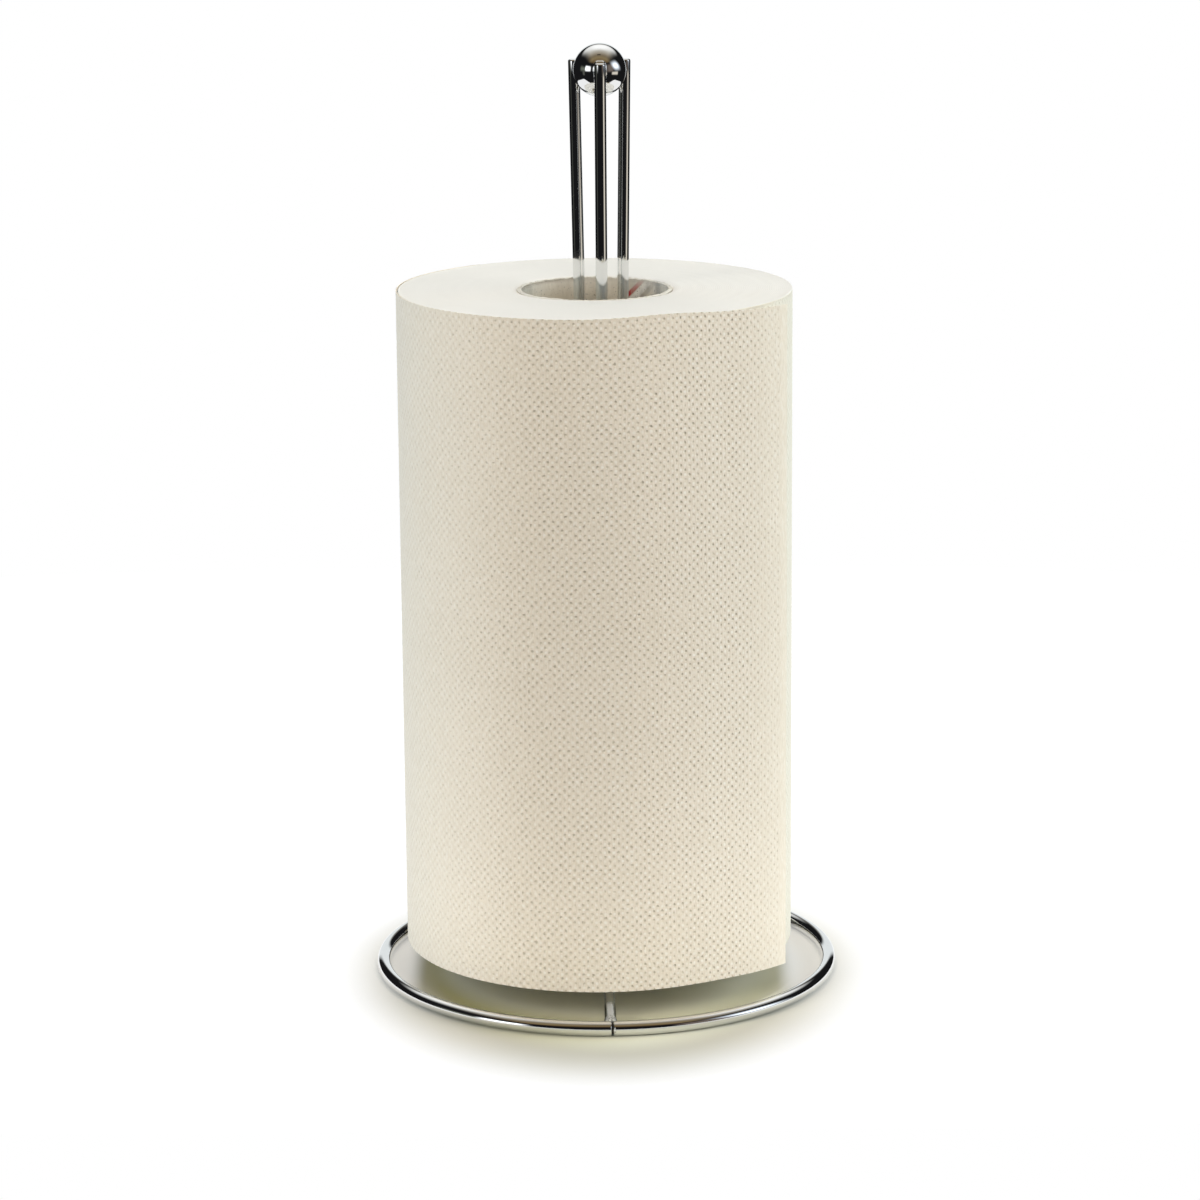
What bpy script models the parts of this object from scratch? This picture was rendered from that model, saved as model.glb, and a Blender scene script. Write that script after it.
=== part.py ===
"""Free-standing kitchen roll holder of chrome-plated wire, with a paper roll on it.

Units are metres and +Z is up. The origin is on the table, at the centre of the base ring, and the
front is -Y. A wire ring lies on the table. Three rods are welded to its inner side: each runs up
gently towards the middle, bends upwards and leans slightly outwards to a ball that all three
share. The roll drops over the ball, rests on the sloping spokes and turns round its own core.
"""

import math

import bmesh
import bpy
from mathutils import Matrix, Vector

# Overall size
TOTAL_HEIGHT = 0.310
BASE_DIAMETER = 0.155
GAP = 0.0003  # between pieces that touch on the real holder

# Base ring: one wire, its two ends butted at a seam and welded
RING_WIRE_R = 0.0024
RING_SIDES = 14
RING_STEPS = 96
RING_R = BASE_DIAMETER / 2 - RING_WIRE_R
RING_Z = RING_WIRE_R * math.cos(math.pi / RING_SIDES)  # its lowest facet lies on the table
SEAM_AZIMUTH = math.radians(-88.6)
SEAM_WELD_LENGTH = 0.0010
SEAM_WELD_R = 0.0019

# Rods: spoke, bend and upright in one piece of wire
ROD_R = 0.0019
ROD_SIDES = 12
ROD_AZIMUTHS = {
    "front": math.radians(-89.0),
    "right": math.radians(31.0),
    "left": math.radians(151.0),
}
SPOKE_RISE = math.radians(7.1)
SPOKE_END_R = 0.0700
BEND_R = 0.0080
BEND_STEPS = 10
UPRIGHT_LOW = (0.0047, 0.020)  # distance from the middle, and height
UPRIGHT_TOP = (0.0095, 0.3045)
SPOKE_WELD_SPREAD = 0.0002

# Ball on top, with a groove for each rod and a weld at the bottom of each groove
BALL_R = 0.0086
BALL_Z = TOTAL_HEIGHT - BALL_R
BALL_WELD_R = 0.0007
BALL_WELD_LENGTH = 0.0050
BALL_WELD_DROP = 0.0010  # its middle, below the ball's

# Paper roll, its cardboard core and the free end of the paper
ROLL_X = -0.0021  # the roll hangs loose on the rods, a little to the left
ROLL_LENGTH = 0.2195
CORE_R = 0.0254
CORE_WALL = 0.0014
PAPER_R = 0.0643
PAPER_EDGE = 0.0006
SHEET_THICKNESS = 0.0003
SHEET_LENGTH = 0.230  # of one sheet, from its perforation to its free edge
FLAP_LENGTH = 0.0292  # of the sheet, standing off the roll
FLAP_AZIMUTH = math.radians(-55.0)  # where the flap leaves the roll
TURN_STEPS = 72
SHEET_STEP = math.radians(6.0)

# The roll's lower end rests on the spokes where the core comes nearest to the middle.
REST_R = CORE_R - CORE_WALL - abs(ROLL_X)
ROLL_BOTTOM = (
    RING_Z + (RING_R - REST_R) * math.tan(SPOKE_RISE) + ROD_R / math.cos(SPOKE_RISE) + GAP
)


def new_material(name, colour, roughness, metallic):
    material = bpy.data.materials.new(name)
    material.use_nodes = True
    shader = material.node_tree.nodes["Principled BSDF"]
    shader.inputs["Base Color"].default_value = (*colour, 1.0)
    shader.inputs["Roughness"].default_value = roughness
    shader.inputs["Metallic"].default_value = metallic
    material.diffuse_color = (*colour, 1.0)
    return material


def new_collection(name):
    collection = bpy.data.collections.new(name)
    bpy.context.scene.collection.children.link(collection)
    return collection


def add_object(name, data, collection, material=None):
    obj = bpy.data.objects.new(name, data)
    collection.objects.link(obj)
    if material is not None:
        data.materials.append(material)
    return obj


def polar(azimuth, radius, height):
    return Vector((radius * math.cos(azimuth), radius * math.sin(azimuth), height))


def add_wire(name, points, radius, sides, twist, collection, material):
    """A round wire with flat ends along a line of points."""
    curve = bpy.data.curves.new(name, "CURVE")
    curve.dimensions = "3D"
    curve.twist_mode = twist
    curve.bevel_depth = radius
    curve.bevel_resolution = (sides - 4) // 2
    curve.use_fill_caps = True
    spline = curve.splines.new("POLY")
    spline.points.add(len(points) - 1)
    for point, place in zip(spline.points, points):
        point.co = (*place, 1.0)
    spline.use_smooth = True
    return add_object(name, curve, collection, material)


def add_cone(name, start, end, start_r, end_r, sides, collection, material=None):
    """A straight cone or cylinder between two points."""
    mesh = bpy.data.meshes.new(name)
    bm = bmesh.new()
    bmesh.ops.create_cone(
        bm,
        cap_ends=True,
        segments=sides,
        radius1=start_r,
        radius2=end_r,
        depth=(end - start).length,
    )
    bm.to_mesh(mesh)
    bm.free()
    mesh.shade_smooth()
    mesh.set_sharp_from_angle(angle=math.radians(40))
    obj = add_object(name, mesh, collection, material)
    turn = (end - start).to_track_quat("Z", "Y").to_matrix().to_4x4()
    obj.matrix_world = Matrix.Translation((start + end) / 2) @ turn
    return obj


def add_turned(name, profile, collection, material):
    """A solid of revolution round Z. The profile runs down its outer side and up its inner one."""
    mesh = bpy.data.meshes.new(name)
    points = [(radius, 0.0, height) for radius, height in profile]
    edges = [(i, (i + 1) % len(points)) for i in range(len(points))]
    mesh.from_pydata(points, edges, [])
    obj = add_object(name, mesh, collection, material)
    screw = obj.modifiers.new("turn", "SCREW")
    screw.angle = 2 * math.pi
    screw.steps = screw.render_steps = TURN_STEPS
    screw.use_merge_vertices = True
    screw.merge_threshold = 0.00005
    return obj


def add_cut(target, cutter):
    cutter.hide_render = True
    cutter.display_type = "WIRE"
    cut = target.modifiers.new(cutter.name, "BOOLEAN")
    cut.operation = "DIFFERENCE"
    cut.object = cutter


def spoke_point(radius, azimuth):
    """The centre of a spoke's wire. The line of every spoke runs through the ring's own wire."""
    return polar(azimuth, radius, RING_Z + (RING_R - radius) * math.tan(SPOKE_RISE))


def upright_radius(height):
    (low_r, low_z), (top_r, top_z) = UPRIGHT_LOW, UPRIGHT_TOP
    return low_r + (top_r - low_r) * (height - low_z) / (top_z - low_z)


def upright_point(height, azimuth, inwards=0.0):
    return polar(azimuth, upright_radius(height) - inwards, height)


def rod_path(azimuth):
    """Points along one rod: the spoke's end, the bend and the upright's top."""
    (low_r, low_z), (top_r, top_z) = UPRIGHT_LOW, UPRIGHT_TOP
    lean = math.atan2(top_r - low_r, top_z - low_z)
    turn = math.pi / 2 - SPOKE_RISE + lean
    # where the spoke's line meets the upright's, as distance from the middle and height
    rise = math.tan(SPOKE_RISE)
    corner_z = (RING_Z + (RING_R - upright_radius(0)) * rise) / (1 + math.tan(lean) * rise)
    corner = Vector((upright_radius(corner_z), corner_z))
    along = Vector((-math.cos(SPOKE_RISE), math.sin(SPOKE_RISE)))
    start = corner - along * BEND_R * math.tan(turn / 2)
    centre = start + Vector((along.y, -along.x)) * BEND_R
    arm = start - centre
    points = [spoke_point(SPOKE_END_R, azimuth)]
    for step in range(BEND_STEPS + 1):
        place = centre + Matrix.Rotation(-turn * step / BEND_STEPS, 2) @ arm
        points.append(polar(azimuth, place.x, place.y))
    points.append(upright_point(top_z, azimuth))
    return points


def build_ring(collection, chrome, weld):
    """The base ring and the weld between its two ends."""
    half_gap = (SEAM_WELD_LENGTH / 2 + GAP) / RING_R
    sweep = 2 * math.pi - 2 * half_gap
    path = [
        polar(SEAM_AZIMUTH + half_gap + sweep * i / RING_STEPS, RING_R, RING_Z)
        for i in range(RING_STEPS + 1)
    ]
    add_wire("base_ring", path, RING_WIRE_R, RING_SIDES, "Z_UP", collection, chrome)
    seam = polar(SEAM_AZIMUTH, RING_R, RING_Z)
    along = polar(SEAM_AZIMUTH + math.pi / 2, SEAM_WELD_LENGTH / 2, 0)
    add_cone(
        "ring_seam_weld", seam - along, seam + along, SEAM_WELD_R, SEAM_WELD_R, 16, collection, weld
    )


def build_rod(side, azimuth, collection, chrome, weld):
    """One rod and the weld that joins its spoke to the ring."""
    add_wire(f"{side}_rod", rod_path(azimuth), ROD_R, ROD_SIDES, "MINIMUM", collection, chrome)
    inner = spoke_point(SPOKE_END_R + GAP, azimuth)
    outer = spoke_point(RING_R - RING_WIRE_R - GAP, azimuth)
    spread = ROD_R + SPOKE_WELD_SPREAD
    add_cone(f"{side}_spoke_weld", inner, outer, ROD_R, spread, 16, collection, weld)


def build_ball(collection, cutters, chrome, weld):
    """The ball, cut where each rod and each weld goes into it, and those welds."""
    mesh = bpy.data.meshes.new("finial_ball")
    bm = bmesh.new()
    bmesh.ops.create_uvsphere(bm, u_segments=36, v_segments=18, radius=BALL_R)
    bm.to_mesh(mesh)
    bm.free()
    mesh.shade_smooth()
    ball = add_object("finial_ball", mesh, collection, chrome)
    ball.location.z = BALL_Z
    weld_z = BALL_Z - BALL_WELD_DROP
    for side, azimuth in ROD_AZIMUTHS.items():
        low = upright_point(BALL_Z - 2 * BALL_R, azimuth)
        top = upright_point(UPRIGHT_TOP[1] + GAP, azimuth)
        groove = add_cone(f"{side}_groove", low, top, ROD_R + GAP, ROD_R + GAP, 24, cutters)
        add_cut(ball, groove)
        inwards = ROD_R + GAP + BALL_WELD_R
        half = BALL_WELD_LENGTH / 2
        ends = [upright_point(weld_z + side_z, azimuth, inwards) for side_z in (-half, half)]
        add_cone(f"{side}_ball_weld", *ends, BALL_WELD_R, BALL_WELD_R, 12, collection, weld)
        ends = [
            upright_point(weld_z + side_z, azimuth, inwards)
            for side_z in (-half - GAP, half + GAP)
        ]
        room = BALL_WELD_R + GAP
        add_cut(ball, add_cone(f"{side}_weld_room", *ends, room, room, 12, cutters))


def sheet_outline():
    """The outer sheet from above: its lap round the roll and the straight flap, as one thin strip."""
    inner = PAPER_R + GAP
    lap = (SHEET_LENGTH - FLAP_LENGTH) / inner
    steps = round(lap / SHEET_STEP)
    angles = [FLAP_AZIMUTH - lap * (1 - i / steps) for i in range(steps + 1)]
    away = Vector((-math.sin(FLAP_AZIMUTH), math.cos(FLAP_AZIMUTH))) * FLAP_LENGTH
    sides = []
    for radius in (inner, inner + SHEET_THICKNESS):
        lap_side = [Vector((radius * math.cos(a), radius * math.sin(a))) for a in angles]
        sides.append(lap_side + [lap_side[-1] + away])
    return sides[0] + sides[1][::-1]


def build_sheet(collection, paper):
    """The last sheet of the roll, lapped round it with its free edge standing off."""
    curve = bpy.data.curves.new("outer_sheet", "CURVE")
    curve.dimensions = "2D"
    curve.fill_mode = "BOTH"
    curve.extrude = ROLL_LENGTH / 2
    outline = sheet_outline()
    spline = curve.splines.new("POLY")
    spline.points.add(len(outline) - 1)
    for point, place in zip(spline.points, outline):
        point.co = (place.x, place.y, 0.0, 1.0)
    spline.use_cyclic_u = True
    sheet = add_object("outer_sheet", curve, collection, paper)
    sheet.location.z = ROLL_LENGTH / 2
    return sheet


def build_roll(collection, cardboard, paper):
    """The core, the wound paper and the outer sheet, all on the axis that the roll turns on."""
    core_hole = CORE_R - CORE_WALL
    core_profile = [(CORE_R, ROLL_LENGTH), (CORE_R, 0), (core_hole, 0), (core_hole, ROLL_LENGTH)]
    core = add_turned("cardboard_core", core_profile, collection, cardboard)
    hole = CORE_R + GAP
    wound_profile = [
        (PAPER_R - PAPER_EDGE, ROLL_LENGTH),
        (PAPER_R, ROLL_LENGTH - PAPER_EDGE),
        (PAPER_R, PAPER_EDGE),
        (PAPER_R - PAPER_EDGE, 0),
        (hole, 0),
        (hole, ROLL_LENGTH),
    ]
    wound = add_turned("paper_roll", wound_profile, collection, paper)
    sheet = build_sheet(collection, paper)
    lift = add_object("roll_lift_axis", None, collection)
    lift.location = (ROLL_X, 0, ROLL_BOTTOM)
    spin = add_object("roll_spin_axis", None, collection)
    spin.parent = lift
    core.parent = lift
    for piece in (wound, sheet):
        piece.parent = spin


def main():
    for obj in list(bpy.data.objects):
        bpy.data.objects.remove(obj)
    parts = new_collection("paper_towel_holder")
    cutters = new_collection("cutters")
    chrome = new_material("chrome", (0.80, 0.80, 0.82), 0.08, 1.0)
    weld = new_material("weld_metal", (0.60, 0.60, 0.60), 0.45, 1.0)
    cardboard = new_material("cardboard", (0.42, 0.38, 0.32), 0.90, 0.0)
    paper = new_material("towel_paper", (0.86, 0.83, 0.75), 0.85, 0.0)
    build_ring(parts, chrome, weld)
    for side, azimuth in ROD_AZIMUTHS.items():
        build_rod(side, azimuth, parts, chrome, weld)
    build_ball(parts, cutters, chrome, weld)
    build_roll(parts, cardboard, paper)


main()
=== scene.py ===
"""Looks of a free-standing kitchen roll holder of chrome-plated wire, with its paper roll.

Units are metres, +Z is up and the front is -Y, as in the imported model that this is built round.
"""

import math

import bmesh
import bpy
import numpy as np
from mathutils import Matrix, Vector, noise


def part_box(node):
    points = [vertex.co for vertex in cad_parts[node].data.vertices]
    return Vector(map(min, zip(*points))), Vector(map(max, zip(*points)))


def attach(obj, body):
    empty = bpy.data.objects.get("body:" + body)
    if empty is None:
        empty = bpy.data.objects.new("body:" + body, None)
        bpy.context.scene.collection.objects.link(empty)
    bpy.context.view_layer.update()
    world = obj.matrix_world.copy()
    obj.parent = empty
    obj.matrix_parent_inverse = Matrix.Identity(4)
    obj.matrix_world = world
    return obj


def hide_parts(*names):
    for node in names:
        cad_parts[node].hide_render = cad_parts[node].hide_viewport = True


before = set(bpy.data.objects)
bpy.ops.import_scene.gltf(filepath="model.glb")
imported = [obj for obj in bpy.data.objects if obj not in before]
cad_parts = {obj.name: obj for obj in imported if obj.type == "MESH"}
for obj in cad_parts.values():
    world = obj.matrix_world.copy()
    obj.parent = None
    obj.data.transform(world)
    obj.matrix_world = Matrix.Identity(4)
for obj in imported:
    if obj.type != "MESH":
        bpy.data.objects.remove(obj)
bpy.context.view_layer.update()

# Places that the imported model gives
CORE_LOW, CORE_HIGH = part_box("cardboard_core")
BALL_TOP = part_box("finial_ball")[1].z
ROLL_X = (CORE_LOW.x + CORE_HIGH.x) / 2
ROLL_LOW, ROLL_TOP = CORE_LOW.z, CORE_HIGH.z
ROLL_LENGTH = ROLL_TOP - ROLL_LOW

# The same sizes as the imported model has
RING_WIRE_R = 0.0024
RING_R = 0.0775 - RING_WIRE_R
RING_Z = RING_WIRE_R
RING_GAP = 0.00060  # between the wire's two ends, at the seam
RING_BEVEL = 0.00035
SEAM_AZIMUTH = math.radians(-88.6)
ROD_R = 0.0019
ROD_BEVEL = 0.00070
SPOKE_START = 0.0708  # distance of a spoke's outer end from the middle
SPOKE_WELD = (0.0690, 0.0738)  # distances of its weld's two ends from the middle
ROD_AZIMUTHS = {
    "front": math.radians(-89.0),
    "right": math.radians(31.0),
    "left": math.radians(151.0),
}
SPOKE_RISE = math.radians(7.1)
BEND_R = 0.0080
UPRIGHT_LOW = (0.0047, 0.020)  # distance from the middle, and height
UPRIGHT_TOP = (0.0095, 0.3045)
BALL_R = 0.0086
BALL_Z = BALL_TOP - BALL_R
CORE_R = 0.0254
CORE_HOLE_R = 0.0240
PAPER_R = 0.0643
SHEET_INNER_R = 0.0646
SHEET_THICKNESS = 0.0003
SHEET_LENGTH = 0.230
FLAP_LENGTH = 0.0292
FLAP_AZIMUTH = math.radians(-55.0)

# Winding of the core's plies
SPIRAL = 44.7  # angle in radians for each metre down the tube
PRINT_AZIMUTH = math.radians(47.8)  # of the printed line, at the top
CORE_PLIES = 4

# Embossing of the paper: rows of dimples, every other row half a step along
DIMPLE_COLUMNS = 81  # over the sheet's length
DIMPLE_ROWS = 75  # over the roll's length
DIMPLE_STEP = SHEET_LENGTH / DIMPLE_COLUMNS
DIMPLE_DEPTH = 0.00021
PER_DIMPLE = 4  # mesh steps over one dimple's step
PLAIN_STRIP = 0.0033  # without dimples, along the free edge
EDGE_MARKS = 0.4  # how deep the dimples are on the roll's two edges, as a share
FLAP_BOW = 0.0015  # how far the loose end bows out
FLAP_LOOSE = 0.012  # how far before the lap's end the sheet already bows out
FLAP_WRINKLE = 0.00025  # how far the loose end wavers in and out
SHEET_RAISED = 0.0011  # how far the sheet's top stands above the roll's, beside the loose end
ROLL_SWELL = 0.00050  # how far the wound paper stands out at the last sheet's perforation
ROLL_ROUND = 0.0009  # width of the rounded edge of the roll's two ends

TURN = 2 * math.pi

# Camera, as fitted to the photograph
CAMERA_PLACE = (0.0, -1.33225, 0.4414)
CAMERA_TURN = (0.23247, -0.0009, -0.0079)  # pitch down, yaw to the right, and roll
CAMERA_LENS = 123.8  # for a sensor 36 mm wide

# ---------------------------------------------------------------- mesh helpers


def polar(azimuth, radius, height):
    return np.array((radius * math.cos(azimuth), radius * math.sin(azimuth), height))


def grid_faces(rows, columns, wrap=False, first=0):
    """Quads of a grid whose columns run fastest. wrap joins the last column to the first."""
    across = np.arange(columns if wrap else columns - 1)
    nxt = (across + 1) % columns
    up = (np.arange(rows - 1) * columns)[:, None]
    quads = np.stack([up + across, up + nxt, up + columns + nxt, up + columns + across], -1)
    return (quads.reshape(-1, 4) + first).tolist()


def add_piece(name, points, faces, materials, body, nodes, sharp=35.0, parts=None):
    """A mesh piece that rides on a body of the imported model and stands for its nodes."""
    mesh = bpy.data.meshes.new(name)
    mesh.from_pydata(np.asarray(points, float).tolist(), [], faces)
    for material in materials:
        mesh.materials.append(material)
    if parts is not None:
        mesh.polygons.foreach_set("material_index", np.asarray(parts, np.int32))
    mesh.update()
    bm = bmesh.new()
    bm.from_mesh(mesh)
    bmesh.ops.recalc_face_normals(bm, faces=bm.faces)
    bm.to_mesh(mesh)
    bm.free()
    mesh.shade_smooth()
    mesh.set_sharp_from_angle(angle=math.radians(sharp))
    piece = bpy.data.objects.new(name, mesh)
    bpy.context.scene.collection.objects.link(piece)
    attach(piece, body)
    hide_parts(*nodes)
    return piece


def add_value(piece, name, values):
    """A number for each point of a piece, which its material reads."""
    attribute = piece.data.attributes.new(name, "FLOAT", "POINT")
    attribute.data.foreach_set("value", np.asarray(values, np.float32).reshape(-1))


def frames_along(points):
    """The direction at each point of a line, and two directions square to it that don't twist."""
    steps = np.diff(points, axis=0)
    steps /= np.linalg.norm(steps, axis=1)[:, None]
    along = np.vstack([steps[:1], steps[:-1] + steps[1:], steps[-1:]])
    along /= np.linalg.norm(along, axis=1)[:, None]
    side = np.cross(along[0], (0.0, 0.0, 1.0))
    if np.linalg.norm(side) < 0.1:
        side = np.cross(along[0], (1.0, 0.0, 0.0))
    sides = []
    for direction in along:
        side = side - direction * side.dot(direction)
        side = side / np.linalg.norm(side)
        sides.append(side)
    sides = np.array(sides)
    return along, sides, np.cross(along, sides)


def rounded(points, radius, bevel, steps=5):
    """The line and its radii, with the edge of both ends rounded by bevel."""
    points = np.asarray(points, float)
    turns = np.arange(steps + 1) / steps * math.pi / 2
    inset, radii = bevel * (1 - np.cos(turns)), radius - bevel + bevel * np.sin(turns)
    first = (points[1] - points[0]) / np.linalg.norm(points[1] - points[0])
    last = (points[-2] - points[-1]) / np.linalg.norm(points[-2] - points[-1])
    start = points[0] + first * inset[:, None]
    end = points[-1] + last * inset[::-1, None]
    line = np.vstack([start, points[1:-1], end])
    sizes = np.concatenate([radii, np.full(len(points) - 2, radius), radii[::-1]])
    return line, sizes


def tube(points, radii, sides, lumps=0.0, lump_size=0.001, seed=0):
    """Points and faces of a closed round tube. lumps is how far its skin stands in and out."""
    points = np.asarray(points, float)
    _, across, up = frames_along(points)
    angles = np.arange(sides) / sides * TURN
    out = across[:, None] * np.cos(angles)[:, None] + up[:, None] * np.sin(angles)[:, None]
    skin = points[:, None] + out * np.asarray(radii, float)[:, None, None]
    if lumps:
        shift = Vector((seed * 3.7, seed * 1.3, seed * 7.1))
        for i in range(len(points)):
            for j in range(sides):
                place = Vector(skin[i, j]) / lump_size + shift
                amount = noise.noise(place) + 0.5 * noise.noise(place * 2.3)
                skin[i, j] += out[i, j] * lumps * amount
    faces = grid_faces(len(points), sides, wrap=True)
    faces.append(list(range(sides))[::-1])
    faces.append([(len(points) - 1) * sides + j for j in range(sides)])
    return skin.reshape(-1, 3), faces


def joined(meshes):
    """Several (points, faces) as one."""
    all_points, all_faces, first = [], [], 0
    for points, faces in meshes:
        all_points.append(points)
        all_faces += [[index + first for index in face] for face in faces]
        first += len(points)
    return np.vstack(all_points), all_faces


# ---------------------------------------------------------------- materials


class Nodes:
    """The node tree of a material or of the world, with short calls to fill it."""

    def __init__(self, name, world=None):
        self.material = world or bpy.data.materials.new(name)
        self.material.use_nodes = True
        self.tree = self.material.node_tree
        self.shader = self.tree.nodes.get("Principled BSDF")
        place = self.add("ShaderNodeTexCoord")
        self.place = place.outputs["Generated" if world else "Object"]

    def add(self, kind, settings=(), **inputs):
        made = self.tree.nodes.new(kind)
        for key, value in dict(settings).items():
            setattr(made, key, value)
        for key, value in inputs.items():
            self.put(made.inputs[key.replace("_", " ")], value)
        return made

    def put(self, socket, value):
        if isinstance(value, bpy.types.NodeSocket):
            self.tree.links.new(value, socket)
        else:
            socket.default_value = value

    def set(self, **inputs):
        for key, value in inputs.items():
            self.put(self.shader.inputs[key.replace("_", " ")], value)

    def noise(self, scale, detail=2.0, roughness=0.5, vector=None, distortion=0.0):
        made = self.add(
            "ShaderNodeTexNoise",
            Scale=scale,
            Detail=detail,
            Roughness=roughness,
            Distortion=distortion,
            Vector=vector or self.place,
        )
        return made.outputs["Fac"]

    def stretched(self, scale, location=(0.0, 0.0, 0.0)):
        made = self.add("ShaderNodeMapping", Vector=self.place, Scale=scale, Location=location)
        return made.outputs["Vector"]

    def attribute(self, name):
        return self.add("ShaderNodeAttribute", {"attribute_name": name}).outputs["Fac"]

    def spread(self, value, low, high, to_low=0.0, to_high=1.0, soft=False):
        kind = "SMOOTHSTEP" if soft else "LINEAR"
        made = self.add("ShaderNodeMapRange", {"clamp": True, "interpolation_type": kind})
        for index, number in enumerate((value, low, high, to_low, to_high)):
            self.put(made.inputs[index], number)
        return made.outputs["Result"]

    def sum(self, first, second, operation="ADD"):
        made = self.add("ShaderNodeMath", {"operation": operation})
        self.put(made.inputs[0], first)
        self.put(made.inputs[1], second)
        return made.outputs[0]

    def times(self, first, *others):
        for other in others:
            first = self.sum(first, other, "MULTIPLY")
        return first

    def band(self, value, low, high, soft):
        """1 between low and high, with soft edges, and 0 outside."""
        rise = self.spread(value, low - soft, low + soft, 0.0, 1.0, True)
        return self.times(rise, self.spread(value, high - soft, high + soft, 1.0, 0.0, True))

    def split(self, vector):
        return self.add("ShaderNodeSeparateXYZ", Vector=vector).outputs

    def blend(self, factor, first, second):
        made = self.add("ShaderNodeMix", {"data_type": "RGBA"})
        self.put(made.inputs[0], factor)
        for socket, value in ((made.inputs[6], first), (made.inputs[7], second)):
            self.put(socket, (*value, 1.0) if isinstance(value, tuple) else value)
        return made.outputs[2]

    def bump(self, height, strength, distance, before=None):
        made = self.add("ShaderNodeBump", Strength=strength, Distance=distance, Height=height)
        if before is not None:
            self.put(made.inputs["Normal"], before)
        return made.outputs["Normal"]


def chrome_material():
    """Bright plating, a little wavy and smeared, frosted beside the welds, with painted shade
    darkening the sides there.
    """
    made = Nodes("chrome_wire")
    smears = made.noise(55.0, 4.0, 0.65, distortion=0.6)
    pits = made.noise(2600.0, 2.0)
    waves = made.noise(120.0, 1.5)
    polish = made.spread(smears, 0.35, 0.75, 0.030, 0.075)
    dull = made.attribute("dull")
    dulled = made.times(dull, made.spread(pits, 0.2, 0.8, 0.24, 0.36))
    made.set(
        Base_Color=made.blend(
            # painted shade: dark sides beside the welds, in place of the dark floor that they
            # reflect
            made.attribute("painted_side_shade"),
            made.blend(smears, (0.745, 0.75, 0.75), (0.835, 0.84, 0.83)),
            (0.045, 0.040, 0.034),
        ),
        Metallic=made.spread(dull, 0.0, 1.0, 1.0, 0.45),
        Roughness=made.sum(polish, dulled),
        Normal=made.bump(pits, 0.05, 0.00002, made.bump(waves, 0.16, 0.00006)),
    )
    return made.material


def weld_material():
    """Frosted weld metal with a grainy skin, darkened by painted shade in the seam's gap and on the
    lower sides of the spoke welds.
    """
    made = Nodes("weld_metal")
    grain = made.noise(1500.0, 3.0, 0.6)
    made.set(
        Base_Color=made.blend(
            # painted shade: dark in the seam's shaded gap and on the spoke welds' lower sides
            made.attribute("painted_shade"),
            made.blend(made.spread(grain, 0.34, 0.66), (0.36, 0.36, 0.34), (0.92, 0.92, 0.89)),
            (0.030, 0.027, 0.022),
        ),
        Metallic=0.6,
        Roughness=made.spread(grain, 0.3, 0.7, 0.22, 0.46),
        Normal=made.bump(grain, 0.5, 0.00012),
    )
    return made.material


def board_material():
    """Recycled board: long fibres, specks, a paler cut edge, and one plain printed line."""
    made = Nodes("core_cardboard")
    fibres = made.noise(900.0, 4.0, 0.7, made.stretched((1.0, 1.0, 0.25)))
    patches = made.noise(70.0, 3.0)
    specks = made.spread(made.noise(1700.0, 1.0), 0.66, 0.74)
    wall = made.blend(fibres, (0.52, 0.455, 0.34), (0.84, 0.77, 0.64))
    wall = made.blend(made.spread(patches, 0.38, 0.66, 0.0, 0.55), wall, (0.45, 0.385, 0.275))
    x, y, z = made.split(made.place)
    depth = made.sum(ROLL_TOP, z, "SUBTRACT")
    azimuth = made.sum(y, made.sum(x, ROLL_X, "SUBTRACT"), "ARCTAN2")
    turned = made.sum(azimuth, made.sum(made.times(depth, SPIRAL), PRINT_AZIMUTH), "SUBTRACT")
    wrap = made.add("ShaderNodeMath", {"operation": "WRAP"}, Value=turned)
    wrap.inputs[1].default_value, wrap.inputs[2].default_value = math.pi, -math.pi
    turned = wrap.outputs[0]
    pale_ply = made.times(made.band(turned, -0.20, -0.06, 0.012), 0.5)
    wall = made.blend(pale_ply, wall, (0.93, 0.90, 0.83))
    dark_ply = made.times(made.band(turned, -0.30, -0.21, 0.02), 0.6)
    wall = made.blend(dark_ply, wall, (0.36, 0.32, 0.26))
    worn = made.spread(fibres, 0.25, 0.5, 0.55, 1.0)
    ink = made.times(made.band(turned, -0.044, 0.044, 0.014), worn)
    wall = made.blend(ink, wall, (0.42, 0.060, 0.055))
    rim = made.times(made.spread(depth, 0.0005, 0.0019, 1.0, 0.0), made.spread(patches, 0.40, 0.55))
    wall = made.blend(made.times(rim, 0.80), wall, (0.22, 0.15, 0.08))
    wall = made.blend(specks, wall, (0.20, 0.17, 0.13))
    edge = made.blend(fibres, (0.62, 0.575, 0.48), (0.84, 0.80, 0.70))
    coloured = made.blend(made.attribute("cut_edge"), wall, edge)
    made.set(
        Base_Color=made.blend(made.attribute("seam"), coloured, (0.24, 0.21, 0.17)),
        Roughness=made.spread(fibres, 0.2, 0.8, 0.85, 0.98),
        Specular_IOR_Level=0.2,
        Normal=made.bump(fibres, 0.5, 0.00025),
    )
    return made.material


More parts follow.
